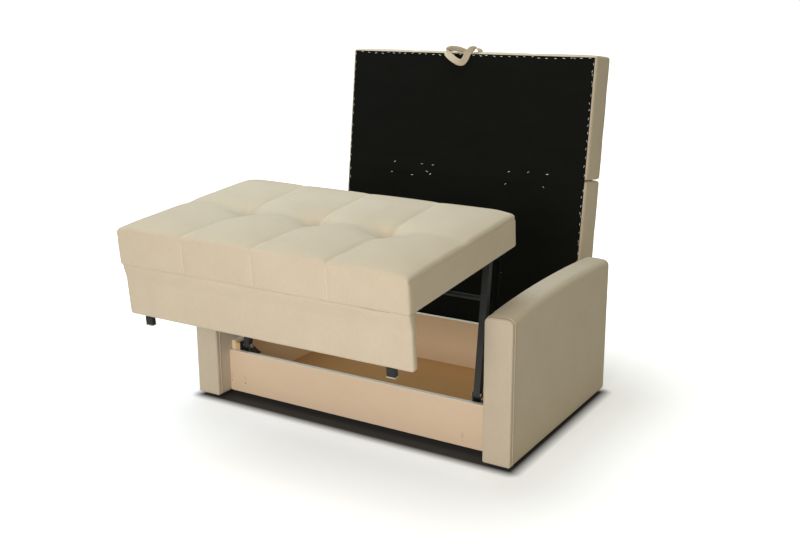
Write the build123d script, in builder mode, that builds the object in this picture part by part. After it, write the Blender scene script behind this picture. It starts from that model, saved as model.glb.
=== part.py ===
from build123d import *
import os
from math import acos, atan2, cos, degrees, hypot, radians, sin

os.makedirs("parts", exist_ok=True)

# Storage sofa bed, shown open for storage: the seat stands up and forward on its swing links
# and the two back sections stand unfolded in one line behind the open box.
# X runs across the sofa, Y to the rear, Z up; the floor is Z = 0. All sizes in millimetres.

# Arms
inner_width = 1200
arm_thickness = 107
arm_depth = 876
arm_front_height = 535
arm_rear_height = 548
arm_front_y = -320.2
arm_nose_radius = 16
arm_panel_drop = 6
arm_edge_radius = 20
arm_padding = 9
arm_panel = 10
arm_post = 34
arm_front_panel_thickness = 22
arm_panel_corner_radius = 30
arm_seam_gap = 0.3
glide_height = 18
glide_width = 38
glide_inset = 48
glide_chamfer = 1.5

# Storage box
board = 18
box_lift = 3
front_board_setback = 69
front_board_height = 174
front_board_corner = 7
side_board_height = 209
box_depth = 700
side_board_tail = 59
floor_panel_thickness = 4
batten_width = 22
front_batten_depth = 63
batten_drop = 7
box_foot_width = 32
box_foot_inset = 45

# Swing links
link_pivot_setback = 99
link_pivot_height = 218
link_length = 501
link_lean = 7.3
link_tube = 25
link_tube_wall = 2
link_eye_solid = 34
link_inner_x = 514
rear_link_offset = 44
rear_link_drop = 3
rear_link_width = 22
rear_link_thickness = 6
rear_link_x = 548
cross_tube_radius = 9
cross_tube_wall = 1.5
cross_tube_distance = 348
pin_radius = 6
rear_pin_radius = 5
pin_head_radius = 10
pin_head = 4
running_clearance = 0.05
side_clearance = 0.6
open_pivot_play = 2.4
nut_radius = 11
washer_thickness = 2.5

# Brackets
plate = 5
seat_flange = 3
seat_ear_radius = 17
bracket_eye_radius = 11
base_web_height = 48
bolt_head_radius = 7
bolt_head = 4

# Seat
seat_width = 1192
seat_depth = 728
seat_edge = 121
seat_crown = 9
seat_front_reach = 650.3
seat_pivot_drop = 20.7
seat_pitch = 4.9
seat_corner_radius = 16
seat_rest_gap = 2
seat_wall = 11
frame_rail = 22
frame_rail_height = 38
frame_clearance = 0.3
slat_thickness = 9
slat_width = 58
seat_slat_count = 6
tuft_radius = 96
tuft_eye_radius = 9
tuft_depth = 20
cushion_draw = 3
seam_rise_share = 0.35
belly_height_share = 0.45
shoulder_round_share = 0.3
cloth_thickness = 1

# Apron and legs
apron_height = 189
apron_recess = 12
apron_thickness = 30
apron_board = 16
apron_side_inset = 2
apron_corner_radius = 10
leg_width = 32
leg_depth = 20
leg_setback = 2
leg_drop = 33
leg_x = 508
leg_cap = 4
leg_bevel = 2
leg_ground_gap = 1

# Back sections
back_width = 1155
back_pivot_inset = 30
back_pivot_height = 221
back_lean = 6.9
underside_offset = 13.5
lower_start = -25
fold_height = 650
upper_end = 1147
section_gap = 4
back_edge = 148
back_crown = 11
back_corner_radius = 30
back_wall = 13
back_slat_count = 4
fold_axis_offset = 3
fold_angle = 177.5
back_tuft_depth = 15
upper_tuft_row_1 = 174
upper_tuft_row_2 = 362
hinge_arm_x = 572
hinge_plate = 3
hinge_plate_height = 86
hinge_arm_thickness = 4
hinge_lug_radius = 12
hinge_flange = 2.5
hinge_flange_width = 36
hinge_arm_length = 220
lug_front_share = 0.8
lug_rear_share = 0.6
back_pin_radius = 5
notch_depth = 24
notch_width = 24
strap_leaf_width = 190
strap_leaf_height = 28
strap_leaf_x = 290
strap_leaf_gap = 1

# Pull strap: its path is given as height above the top edge and depth behind the underside
strap_width = 28
strap_thickness = 2.4
strap_middle_x = 8
strap_bend_radius = 3.6
strap_path = [(-1.2, 24), (20, 24), (20, -21), (-34, -52), (-24, -31), (10, -10), (10, 10), (-2.1, 10)]

# Extra length of a cutting tool past the faces it cuts
overrun = 5


def side_plane(base, x):
    """Profile plane across X: its x is the base's y and its y is the base's z."""
    return Plane(origin=base.from_local_coords((x, 0, 0)), x_dir=base.y_dir, z_dir=base.x_dir)


def level_plane(base, y, z):
    """Plane level with the base plane, moved to a y and z place of its own."""
    return Plane(origin=base.from_local_coords((0, y, z)), x_dir=base.x_dir, z_dir=base.z_dir)


def finish(part, name):
    """Name a finished solid and write its file."""
    part.label = name
    export_step(part, f"parts/{name}.step")


# Places worked out from the sizes
half_inner = inner_width / 2
base_z = glide_height + box_lift
box_front_y = arm_front_y + front_board_setback
box_inner_front_y = box_front_y + board
box_inner_rear_y = box_inner_front_y + box_depth
box_outer_rear_y = box_inner_rear_y + board
side_inner_x = half_inner - board
side_top_z = base_z + side_board_height
side_rear_y = box_outer_rear_y + side_board_tail
floor_top_z = base_z + floor_panel_thickness

link_pivot_y = arm_front_y + link_pivot_setback
link_pivot = (link_pivot_y, link_pivot_height)


def link_end(angle_back):
    """Seat pivot in Y and Z for a link that leans back by this angle."""
    lean = radians(angle_back)
    return (
        link_pivot_y + link_length * sin(lean),
        link_pivot_height + link_length * cos(lean),
    )


def turned(y, z, angle):
    """A point turned about +X, nose down for a positive angle."""
    turn = radians(angle)
    return y * cos(turn) - z * sin(turn), y * sin(turn) + z * cos(turn)


# Link angles where the seat lies on the box and where its legs stand on the floor
closed_pivot_z = side_top_z + seat_rest_gap - seat_pivot_drop
closed_angle = degrees(acos((closed_pivot_z - link_pivot_height) / link_length))
bed_pivot_z = apron_height + leg_drop + leg_ground_gap - seat_pivot_drop
bed_angle = -degrees(acos((bed_pivot_z - link_pivot_height) / link_length))
seat_pivot_y, seat_pivot_z = link_end(link_lean)


def seat_point(y, z, angle_back, pitch):
    """A point given from the seat pivot, where the seat stands at this link angle and pitch."""
    end_y, end_z = link_end(angle_back)
    turned_y, turned_z = turned(y, z, pitch)
    return end_y + turned_y, end_z + turned_z


# Base pivot of the rear link: the centre of the circle through its three upper pivot places
place_open = seat_point(rear_link_offset, -rear_link_drop, link_lean, seat_pitch)
place_closed = seat_point(rear_link_offset, -rear_link_drop, closed_angle, 0)
place_bed = seat_point(rear_link_offset, -rear_link_drop, bed_angle, 0)


def circle_centre(*places):
    """Centre of the circle through three Y and Z places."""
    area, y_sum, z_sum = 0, 0, 0
    for i in range(3):
        y, z = places[i]
        next_y, next_z = places[(i + 1) % 3]
        last_y, last_z = places[(i + 2) % 3]
        area += 2 * y * (next_z - last_z)
        y_sum += (y**2 + z**2) * (next_z - last_z)
        z_sum += (y**2 + z**2) * (last_y - next_y)
    return y_sum / area, z_sum / area


rear_pivot = circle_centre(place_open, place_closed, place_bed)


def lean_from(pivot, place):
    """Angle from upright of the line from a pivot to a place."""
    return degrees(atan2(place[0] - pivot[0], place[1] - pivot[1]))


rear_link_lean = lean_from(rear_pivot, place_open)
rear_link_length = hypot(place_open[0] - rear_pivot[0], place_open[1] - rear_pivot[1])
bed_travel = link_lean - bed_angle
rear_bed_ratio = (rear_link_lean - lean_from(rear_pivot, place_bed)) / bed_travel

# Reference planes of the bodies that stand at an angle
seat_y, seat_z = seat_point(0, seat_pivot_drop, link_lean, seat_pitch)
seat_up = (0, -sin(radians(seat_pitch)), cos(radians(seat_pitch)))
seat = Plane(origin=(0, seat_y, seat_z), x_dir=(1, 0, 0), z_dir=seat_up)
back_pivot_y = side_rear_y - back_pivot_inset
through_back = (0, cos(radians(back_lean)), -sin(radians(back_lean)))
back_hinge = Plane(origin=(0, back_pivot_y, back_pivot_height), x_dir=(-1, 0, 0), z_dir=through_back)
back = back_hinge.offset(underside_offset)


# Arms: a boarded timber frame, a padded cover over it and a separate front panel
def arm_block(middle_x, inset, front, rear):
    """Arm body between two Y places: rounded top edges, a sloping top and a round nose."""
    slope = (arm_rear_height - arm_front_height) / arm_depth
    radius = arm_nose_radius - inset / 2
    nose_top = glide_height + arm_front_height - inset + slope * (front + radius - arm_front_y)
    with BuildPart() as block:
        for y in (front, rear):
            height = arm_front_height - inset + slope * (y - arm_front_y)
            section = Plane(origin=(middle_x, y, glide_height), x_dir=(1, 0, 0), z_dir=(0, -1, 0))
            with BuildSketch(section) as outline:
                with Locations((0, height / 2)):
                    Rectangle(arm_thickness - 2 * inset, height)
                fillet(outline.vertices().group_by(Axis.Y)[-1], arm_edge_radius - inset)
        loft(ruled=True)
        with BuildSketch(Plane.YZ.offset(middle_x - arm_thickness / 2)):
            with BuildLine():
                Line((rear, glide_height), (front, glide_height))
                Line((front, glide_height), (front, nose_top - radius))
                RadiusArc((front, nose_top - radius), (front + radius, nose_top), radius)
                Line((front + radius, nose_top), (front + radius, nose_top + arm_nose_radius))
                Line((front + radius, nose_top + arm_nose_radius), (rear, nose_top + arm_nose_radius))
                Line((rear, nose_top + arm_nose_radius), (rear, glide_height))
            make_face()
        extrude(amount=arm_thickness, mode=Mode.INTERSECT)
    return block.part


arm_rear_y = arm_front_y + arm_depth
arm_cover_front_y = arm_front_y + arm_front_panel_thickness
core_front_y = arm_cover_front_y + arm_padding
core_rear_y = arm_rear_y - arm_padding
core_thickness = arm_thickness - 2 * arm_padding
post_thickness = core_thickness - 2 * arm_panel
hollow_low = glide_height + arm_post
hollow_height = arm_front_height - arm_padding - 3 * arm_post
hollow_length = (core_rear_y - core_front_y - 3 * arm_post) / 2
hollow_place = (arm_post + hollow_length) / 2
for side, sign in (("left", -1), ("right", 1)):
    middle_x = sign * (half_inner + arm_thickness / 2)
    with BuildPart() as cover:
        add(arm_block(middle_x, 0, arm_cover_front_y, arm_rear_y))
        add(arm_block(middle_x, arm_padding, core_front_y, core_rear_y), mode=Mode.SUBTRACT)
    finish(cover.part, f"{side}_arm_cover")

    hollow_middle = ((core_front_y + core_rear_y) / 2, hollow_low + hollow_height / 2)
    hollow_plane = Plane(
        origin=(middle_x - post_thickness / 2, *hollow_middle),
        x_dir=(0, 1, 0),
        z_dir=(1, 0, 0),
    )
    with BuildPart() as frame:
        add(
            arm_block(
                middle_x,
                arm_padding + arm_seam_gap,
                core_front_y + arm_seam_gap,
                core_rear_y - arm_seam_gap,
            )
        )
        with BuildSketch(hollow_plane):
            with Locations((-hollow_place, 0), (hollow_place, 0)):
                Rectangle(hollow_length, hollow_height)
        extrude(amount=post_thickness, mode=Mode.SUBTRACT)
    finish(frame.part, f"{side}_arm_frame")

    panel_height = arm_front_height - arm_panel_drop
    panel_plane = Plane(
        origin=(middle_x, arm_cover_front_y - arm_seam_gap, glide_height + panel_height / 2),
        x_dir=(1, 0, 0),
        z_dir=(0, -1, 0),
    )
    with BuildPart() as panel:
        with BuildSketch(panel_plane) as outline:
            Rectangle(arm_thickness, panel_height)
            fillet(outline.vertices().group_by(Axis.Y)[-1], arm_panel_corner_radius)
        extrude(amount=arm_front_panel_thickness - arm_seam_gap)
        chamfer(panel.faces().sort_by(Axis.Y)[0].edges(), arm_padding / 2)
    finish(panel.part, f"{side}_arm_front_panel")

with BuildPart() as glides:
    with Locations(
        *[
            (sign * (half_inner + arm_thickness / 2), y, 0)
            for sign in (-1, 1)
            for y in (arm_front_y + glide_inset, arm_rear_y - glide_inset)
        ]
    ):
        Box(glide_width, glide_width, glide_height, align=(Align.CENTER, Align.CENTER, Align.MIN))
    chamfer(glides.faces().group_by(Axis.Z)[0].edges(), glide_chamfer)
finish(glides.part, "arm_glides")


# Storage box
with BuildPart() as front_board:
    with BuildSketch(Plane.XZ.offset(-box_inner_front_y)):
        with Locations((0, base_z + front_board_height / 2)):
            Rectangle(inner_width, front_board_height)
    extrude(amount=board)
    fillet(front_board.edges().filter_by(Axis.Y), front_board_corner)
finish(front_board.part, "front_board")

for side, sign in (("left", -1), ("right", 1)):
    with BuildPart() as side_board:
        with BuildSketch(Plane.YZ.offset(side_inner_x if sign > 0 else -half_inner)):
            with Locations(((box_inner_front_y + side_rear_y) / 2, base_z + side_board_height / 2)):
                Rectangle(side_rear_y - box_inner_front_y, side_board_height)
        extrude(amount=board)
    finish(side_board.part, f"{side}_side_board")

with BuildPart() as rear_board:
    with BuildSketch(Plane.XZ.offset(-box_outer_rear_y)):
        with Locations((0, base_z + side_board_height / 2)):
            Rectangle(2 * side_inner_x, side_board_height)
        with Locations(
            (side_inner_x - notch_width / 2, side_top_z - notch_depth / 2),
            (-side_inner_x + notch_width / 2, side_top_z - notch_depth / 2),
        ):
            Rectangle(notch_width, notch_depth, mode=Mode.SUBTRACT)
    extrude(amount=board)
finish(rear_board.part, "rear_board")

with BuildPart() as floor_panel:
    with BuildSketch(Plane.XY.offset(base_z)):
        with Locations((0, (box_inner_front_y + box_inner_rear_y) / 2)):
            Rectangle(2 * side_inner_x, box_depth)
    extrude(amount=floor_panel_thickness)
finish(floor_panel.part, "floor_panel")

batten_height = side_board_height - floor_panel_thickness - batten_drop
with BuildPart() as battens:
    with Locations(
        (-side_inner_x, box_inner_front_y, floor_top_z),
        (side_inner_x - batten_width, box_inner_front_y, floor_top_z),
    ):
        Box(batten_width, front_batten_depth, batten_height, align=(Align.MIN,) * 3)
    with Locations(
        (-side_inner_x, box_inner_rear_y - batten_width, floor_top_z),
        (side_inner_x - batten_width, box_inner_rear_y - batten_width, floor_top_z),
    ):
        Box(batten_width, batten_width, batten_height - notch_depth, align=(Align.MIN,) * 3)
finish(battens.part, "corner_battens")

with BuildPart() as box_feet:
    with Locations(
        *[
            (x, y, 0)
            for x in (-half_inner + box_foot_inset, 0, half_inner - box_foot_inset)
            for y in (box_inner_front_y + box_foot_inset, box_inner_rear_y - box_foot_inset)
        ]
    ):
        Box(box_foot_width, box_foot_width, base_z, align=(Align.CENTER, Align.CENTER, Align.MIN))
finish(box_feet.part, "box_feet")


# Swing mechanism: U-shaped base brackets, tube front links, flat rear links and their pins
inner_cheek_x = link_inner_x - side_clearance - plate
batten_face_x = side_inner_x - batten_width
outer_cheek_x = batten_face_x - plate
cheek_front_y = box_inner_front_y + side_clearance
cheek_rear_y = rear_pivot[0] + bracket_eye_radius + plate
web_bottom_z = link_pivot_height - base_web_height
tube_outer_x = link_inner_x + link_tube
rear_link_outer_x = rear_link_x + rear_link_thickness


def mirrored_x(sign, low, high):
    """Lower X of a slab that spans low to high on the right, or its mirror on the left."""
    return low if sign > 0 else -high


def hole(sign, low, high, place, radius):
    """Round hole along X through low to high at a Y and Z place."""
    with BuildSketch(Plane.YZ.offset(mirrored_x(sign, low, high) - overrun)) as profile:
        with Locations(place):
            Circle(radius)
    extrude(profile.sketch, amount=high - low + 2 * overrun, mode=Mode.SUBTRACT)


def hexagon(sign, low, high, place, radius):
    """Hexagon head or nut along X from low to high at a Y and Z place."""
    with BuildSketch(Plane.YZ.offset(mirrored_x(sign, low, high))) as profile:
        with Locations(place):
            RegularPolygon(radius, 6)
    extrude(profile.sketch, amount=high - low)


def rod(sign, low, high, place, radius):
    """Round bar along X from low to high at a Y and Z place."""
    with BuildSketch(Plane.YZ.offset(mirrored_x(sign, low, high))) as profile:
        with Locations(place):
            Circle(radius)
    extrude(profile.sketch, amount=high - low)


for side, sign in (("left", -1), ("right", 1)):
    with BuildPart() as bracket:
        with BuildSketch(Plane.YZ.offset(mirrored_x(sign, outer_cheek_x, batten_face_x))):
            with BuildLine():
                Polyline(
                    (cheek_front_y, web_bottom_z),
                    (cheek_rear_y, web_bottom_z),
                    (cheek_rear_y, rear_pivot[1]),
                    (rear_pivot[0] + plate, rear_pivot[1] + bracket_eye_radius),
                    (cheek_front_y, rear_pivot[1] + bracket_eye_radius),
                    close=True,
                )
            make_face()
        extrude(amount=plate)
        with BuildSketch(Plane.YZ.offset(mirrored_x(sign, inner_cheek_x, outer_cheek_x))):
            with BuildLine():
                Polyline(
                    (cheek_front_y, web_bottom_z),
                    (cheek_rear_y, web_bottom_z),
                    (cheek_rear_y, web_bottom_z + plate),
                    (cheek_front_y, web_bottom_z + plate),
                    close=True,
                )
            make_face()
        extrude(amount=outer_cheek_x - inner_cheek_x)
        with BuildSketch(Plane.YZ.offset(mirrored_x(sign, inner_cheek_x, inner_cheek_x + plate))):
            with BuildLine():
                Polyline(
                    (cheek_front_y, web_bottom_z),
                    (cheek_rear_y, web_bottom_z),
                    (link_pivot_y + bracket_eye_radius, link_pivot_height),
                    (link_pivot_y + plate, link_pivot_height + bracket_eye_radius),
                    (cheek_front_y, link_pivot_height + bracket_eye_radius),
                    close=True,
                )
            make_face()
        extrude(amount=plate)
        hole(sign, inner_cheek_x, inner_cheek_x + plate, link_pivot, pin_radius + running_clearance)
        hole(sign, outer_cheek_x, batten_face_x, rear_pivot, rear_pin_radius + running_clearance)
    finish(bracket.part, f"{side}_base_bracket")

    link_plane = Plane(
        origin=(link_inner_x if sign > 0 else -tube_outer_x, *link_pivot),
        x_dir=(0, sin(radians(link_lean)), cos(radians(link_lean))),
        z_dir=(1, 0, 0),
    )
    with BuildPart() as front_link:
        with BuildSketch(link_plane):
            with Locations((link_length / 2, 0)):
                SlotCenterToCenter(link_length, link_tube)
        extrude(amount=link_tube)
        with BuildSketch(link_plane.offset(link_tube_wall)):
            with Locations((link_length / 2, 0)):
                Rectangle(link_length - 2 * link_eye_solid, link_tube - 2 * link_tube_wall)
        extrude(amount=link_tube - 2 * link_tube_wall, mode=Mode.SUBTRACT)
        with BuildSketch(link_plane.offset(-overrun)):
            with Locations((0, 0), (link_length, 0)):
                Circle(pin_radius + running_clearance)
        extrude(amount=link_tube + 2 * overrun, mode=Mode.SUBTRACT)
    finish(front_link.part, f"{side}_front_link")

    rear_plane = Plane(
        origin=(mirrored_x(sign, rear_link_x, rear_link_outer_x), *rear_pivot),
        x_dir=(0, sin(radians(rear_link_lean)), cos(radians(rear_link_lean))),
        z_dir=(1, 0, 0),
    )
    with BuildPart() as rear_link:
        with BuildSketch(rear_plane):
            with Locations((rear_link_length / 2, 0)):
                SlotCenterToCenter(rear_link_length, rear_link_width)
            with Locations((0, 0), (rear_link_length, 0)):
                Circle(rear_pin_radius + running_clearance, mode=Mode.SUBTRACT)
        extrude(amount=rear_link_thickness)
    finish(rear_link.part, f"{side}_rear_link")

cross_y = link_pivot_y + cross_tube_distance * sin(radians(link_lean))
cross_z = link_pivot_height + cross_tube_distance * cos(radians(link_lean))
with BuildPart() as cross_tube:
    with BuildSketch(Plane.YZ.offset(-link_inner_x)):
        with Locations((cross_y, cross_z)):
            Circle(cross_tube_radius)
            Circle(cross_tube_radius - cross_tube_wall, mode=Mode.SUBTRACT)
    extrude(amount=2 * link_inner_x)
finish(cross_tube.part, "link_cross_tube")

inner_head_x = inner_cheek_x - running_clearance
outer_head_x = tube_outer_x + running_clearance
with BuildPart() as link_pins:
    for sign in (-1, 1):
        hexagon(sign, inner_head_x - pin_head, inner_head_x, link_pivot, pin_head_radius)
        rod(sign, inner_head_x, outer_head_x, link_pivot, pin_radius)
        hexagon(sign, outer_head_x, outer_head_x + pin_head, link_pivot, pin_head_radius)
finish(link_pins.part, "link_pivot_pins")

rear_head_x = rear_link_x - running_clearance
with BuildPart() as rear_pins:
    for sign in (-1, 1):
        hexagon(sign, rear_head_x - washer_thickness, rear_head_x, rear_pivot, pin_head_radius)
        rod(sign, rear_head_x, batten_face_x - side_clearance, rear_pivot, rear_pin_radius)
finish(rear_pins.part, "rear_link_pivot_pins")

seat_pivot = (seat_pivot_y, seat_pivot_z)
with BuildPart() as seat_pins:
    for sign in (-1, 1):
        hexagon(sign, inner_head_x - pin_head, inner_head_x, seat_pivot, pin_head_radius)
        rod(sign, inner_head_x, outer_head_x, seat_pivot, pin_radius)
        hexagon(sign, outer_head_x, outer_head_x + pin_head, seat_pivot, pin_head_radius)
finish(seat_pins.part, "seat_pivot_pins")

seat_cheek_outer_x = outer_cheek_x + plate
with BuildPart() as open_pins:
    for sign in (-1, 1):
        low_x = rear_link_x - washer_thickness
        high_x = seat_cheek_outer_x + side_clearance
        hexagon(sign, low_x, rear_link_x - running_clearance, place_open, pin_head_radius)
        rod(sign, rear_link_x - running_clearance, high_x, place_open, rear_pin_radius)
        hexagon(sign, high_x, high_x + washer_thickness, place_open, nut_radius)
finish(open_pins.part, "rear_link_top_pins")

with BuildPart() as bolts:
    for sign in (-1, 1):
        for y in (cheek_front_y + 2 * bolt_head_radius, cheek_rear_y - 2 * bolt_head_radius):
            place = (y, web_bottom_z + 2 * bolt_head_radius)
            hexagon(sign, outer_cheek_x - bolt_head, outer_cheek_x, place, bolt_head_radius)
finish(bolts.part, "bracket_bolts")


# Quilted cushions: crowned, with drawn-in sides, seams between cells and pulled tufts
def quilt_profile(length, edge, crown, shoulder, seams):
    """Closed outline of a cushion's section, with a swelling arc for each cell."""
    stops = [shoulder + cushion_draw, *seams, length - shoulder - cushion_draw]
    heights = [edge, *[edge + crown * seam_rise_share] * len(seams), edge]
    belly = edge * belly_height_share
    bend = cushion_draw + shoulder * shoulder_round_share
    bend_height = edge - shoulder * shoulder_round_share
    with BuildLine() as outline:
        Line((cushion_draw, 0), (length - cushion_draw, 0))
        ThreePointArc((length - cushion_draw, 0), (length, belly), (length - cushion_draw, edge - shoulder))
        ThreePointArc(
            (length - cushion_draw, edge - shoulder),
            (length - bend, bend_height),
            (stops[-1], edge),
        )
        for i in range(len(stops) - 1, 0, -1):
            crest = ((stops[i] + stops[i - 1]) / 2, edge + crown)
            ThreePointArc((stops[i], heights[i]), crest, (stops[i - 1], heights[i - 1]))
        ThreePointArc((stops[0], edge), (bend, bend_height), (cushion_draw, edge - shoulder))
        ThreePointArc((cushion_draw, edge - shoulder), (0, belly), (cushion_draw, 0))
    return outline.line


def cushion(base, width, start, end, edge, crown, corner, rows, columns, tuft, wall, pocket):
    """Cushion on a base plane, from start to end along the base's y, with a pocket for its frame."""
    length = end - start
    near_corner = base.from_local_coords((-width / 2, start, 0))
    across = Plane(near_corner, x_dir=base.x_dir, z_dir=-base.y_dir)
    along = Plane(near_corner, x_dir=base.y_dir, z_dir=base.x_dir)
    middle = level_plane(base, (start + end) / 2, 0)
    with BuildPart() as body:
        with BuildSketch(along):
            with BuildLine():
                add(quilt_profile(length, edge, crown, corner, rows))
            make_face()
        extrude(amount=width)
        with BuildSketch(across):
            with BuildLine():
                add(quilt_profile(width, edge, crown, corner, [width / 2 + x for x in columns]))
            make_face()
        extrude(amount=-length, mode=Mode.INTERSECT)
        with BuildSketch(middle):
            RectangleRounded(width + 2 * cushion_draw, length + 2 * cushion_draw, 2 * corner)
        extrude(amount=edge + 2 * crown, mode=Mode.INTERSECT)
        tuft_bottom = edge + crown - tuft
        with Locations(middle):
            with Locations(*[(x, row - length / 2, tuft_bottom) for row in rows for x in columns]):
                Cone(
                    tuft_eye_radius,
                    tuft_radius,
                    2 * tuft,
                    align=(Align.CENTER, Align.CENTER, Align.MIN),
                    mode=Mode.SUBTRACT,
                )
            Box(
                width - 2 * wall,
                length - 2 * wall,
                pocket,
                align=(Align.CENTER, Align.CENTER, Align.MIN),
                mode=Mode.SUBTRACT,
            )
    return body.part


def ladder_frame(base, width, start, end, wall, cross_rails):
    """Rectangular timber frame with cross rails, standing on the base plane."""
    length = end - start - 2 * wall - 2 * frame_clearance
    across = width - 2 * wall - 2 * frame_clearance
    bays = cross_rails + 1
    bay = (across - (bays + 1) * frame_rail) / bays
    with BuildPart() as body:
        with BuildSketch(level_plane(base, (start + end) / 2, 0)):
            Rectangle(across, length)
            with GridLocations(bay + frame_rail, 0, bays, 1):
                Rectangle(bay, length - 2 * frame_rail, mode=Mode.SUBTRACT)
        extrude(amount=frame_rail_height)
    return body.part


def slat_row(base, width, start, end, wall, count):
    """Slats across the frame, lying on its rails."""
    length = end - start - 2 * wall - 2 * frame_clearance
    across = width - 2 * wall - 2 * frame_clearance
    pitch = (length - slat_width) / (count - 1)
    with BuildPart() as body:
        with BuildSketch(level_plane(base, (start + end) / 2, frame_rail_height)):
            with GridLocations(0, pitch, 1, count):
                Rectangle(across, slat_width)
        extrude(amount=slat_thickness)
    return body.part


def under_cloth(base, width, start, end, margin):
    """Non-woven cloth stapled to the underside, just below the base plane."""
    with BuildPart() as body:
        with BuildSketch(level_plane(base, (start + end) / 2, -cloth_thickness)):
            RectangleRounded(width - 2 * margin, end - start - 2 * margin, 2 * margin)
        extrude(amount=cloth_thickness)
    return body.part


pocket_height = frame_rail_height + slat_thickness + frame_clearance
seat_start = -seat_front_reach
seat_end = seat_start + seat_depth
seat_columns = [-seat_width / 4, 0, seat_width / 4]
finish(
    cushion(
        seat, seat_width, seat_start, seat_end, seat_edge, seat_crown, seat_corner_radius,
        [seat_depth / 2], seat_columns, tuft_depth, seat_wall, pocket_height,
    ),
    "seat_cushion",
)
finish(ladder_frame(seat, seat_width, seat_start, seat_end, seat_wall, 2), "seat_frame")
finish(slat_row(seat, seat_width, seat_start, seat_end, seat_wall, seat_slat_count), "seat_slats")
finish(under_cloth(seat, seat_width, seat_start, seat_end, seat_wall / 2), "seat_under_cloth")

# Seat brackets: a flange under the frame with two cheeks, drawn in the seat's own plane
flange_front = -bracket_eye_radius * 3
flange_rear = seat_end - plate
below_cloth = -cloth_thickness
open_place = (rear_link_offset, -seat_pivot_drop - rear_link_drop)
for side, sign in (("left", -1), ("right", 1)):
    with BuildPart() as bracket:
        with BuildSketch(side_plane(seat, mirrored_x(sign, inner_cheek_x, seat_cheek_outer_x))):
            with BuildLine():
                Polyline(
                    (flange_front, below_cloth - seat_flange),
                    (flange_rear, below_cloth - seat_flange),
                    (flange_rear, below_cloth),
                    (flange_front, below_cloth),
                    close=True,
                )
            make_face()
        extrude(amount=seat_cheek_outer_x - inner_cheek_x)
        with BuildSketch(side_plane(seat, mirrored_x(sign, inner_cheek_x, inner_cheek_x + plate))):
            with BuildLine():
                Polyline(
                    (flange_front, below_cloth - seat_flange),
                    (-bracket_eye_radius, -seat_pivot_drop - bracket_eye_radius),
                    (bracket_eye_radius, -seat_pivot_drop - bracket_eye_radius),
                    (flange_rear, below_cloth - seat_flange),
                    close=True,
                )
            make_face()
            with Locations((0, -seat_pivot_drop)):
                Circle(pin_radius + running_clearance, mode=Mode.SUBTRACT)
        extrude(amount=plate)
        with BuildSketch(side_plane(seat, mirrored_x(sign, outer_cheek_x, seat_cheek_outer_x))):
            with BuildLine():
                Polyline(
                    (flange_front, below_cloth - seat_flange),
                    (rear_link_offset - 2 * seat_ear_radius, open_place[1] - seat_ear_radius),
                    (rear_link_offset + seat_ear_radius, open_place[1] - seat_ear_radius),
                    (flange_rear, below_cloth - seat_flange),
                    close=True,
                )
            make_face()
            with Locations(open_place):
                Circle(rear_pin_radius + open_pivot_play, mode=Mode.SUBTRACT)
        extrude(amount=plate)
    finish(bracket.part, f"{side}_seat_bracket")

# Apron: a board with its padded cover, hung under the front of the seat
apron_front = seat_start + apron_recess
apron_rear = apron_front + apron_thickness
apron_width = seat_width - 2 * apron_side_inset
apron_low = level_plane(seat, (apron_front + apron_rear) / 2, -apron_height)
apron_cover_height = apron_height - cloth_thickness - frame_clearance
apron_pad = (apron_thickness - apron_board) / 2
with BuildPart() as apron_cover:
    with BuildSketch(apron_low):
        RectangleRounded(apron_width, apron_thickness, apron_corner_radius)
    extrude(amount=apron_cover_height)
    with BuildSketch(apron_low.offset(apron_pad)):
        Rectangle(apron_width - 2 * apron_pad, apron_board)
    extrude(amount=apron_cover_height - apron_pad, mode=Mode.SUBTRACT)
finish(apron_cover.part, "apron_cover")
with BuildPart() as apron:
    with BuildSketch(apron_low.offset(apron_pad + frame_clearance)):
        Rectangle(apron_width - 2 * apron_pad - 2 * frame_clearance, apron_board - 2 * frame_clearance)
    extrude(amount=apron_cover_height - apron_pad - frame_clearance)
finish(apron.part, "apron_board")

leg_middle_y = apron_front + leg_setback + leg_depth / 2
seat_axis = Axis(seat.origin, seat.z_dir)
leg_foot = level_plane(seat, leg_middle_y, -apron_height - leg_drop)
with BuildPart() as legs:
    with BuildSketch(leg_foot.offset(leg_cap)):
        with Locations((-leg_x, 0), (leg_x, 0)):
            Rectangle(leg_width, leg_depth)
    extrude(amount=leg_drop - leg_cap - frame_clearance)
    chamfer(legs.edges().filter_by(seat_axis), leg_bevel)
finish(legs.part, "seat_legs")
with BuildPart() as leg_caps:
    with BuildSketch(leg_foot):
        with Locations((-leg_x, 0), (leg_x, 0)):
            Rectangle(leg_width + 2 * cloth_thickness, leg_depth + 2 * cloth_thickness)
    extrude(amount=leg_cap)
    chamfer(leg_caps.edges().filter_by(seat_axis), leg_bevel)
finish(leg_caps.part, "leg_caps")


# Back sections: each a frame with slats, a quilted cushion and a black cloth on its underside
lower_end = fold_height - section_gap / 2
upper_start = fold_height + section_gap / 2
back_columns = [-back_width / 4, 0, back_width / 4]
upper_rows = [upper_tuft_row_1, upper_tuft_row_2]
lower_length = lower_end - lower_start
lower_rows = [lower_length / 3, lower_length * 2 / 3]
for name, start, end, rows in (
    ("lower_back", lower_start, lower_end, lower_rows),
    ("upper_back", upper_start, upper_end, upper_rows),
):
    finish(
        cushion(
            back, back_width, start, end, back_edge, back_crown, back_corner_radius,
            rows, back_columns, back_tuft_depth, back_wall, pocket_height,
        ),
        f"{name}_cushion",
    )
    finish(ladder_frame(back, back_width, start, end, back_wall, 2), f"{name}_frame")
    finish(slat_row(back, back_width, start, end, back_wall, back_slat_count), f"{name}_slats")
    finish(under_cloth(back, back_width, start, end, back_wall / 2), f"{name}_under_cloth")

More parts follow.
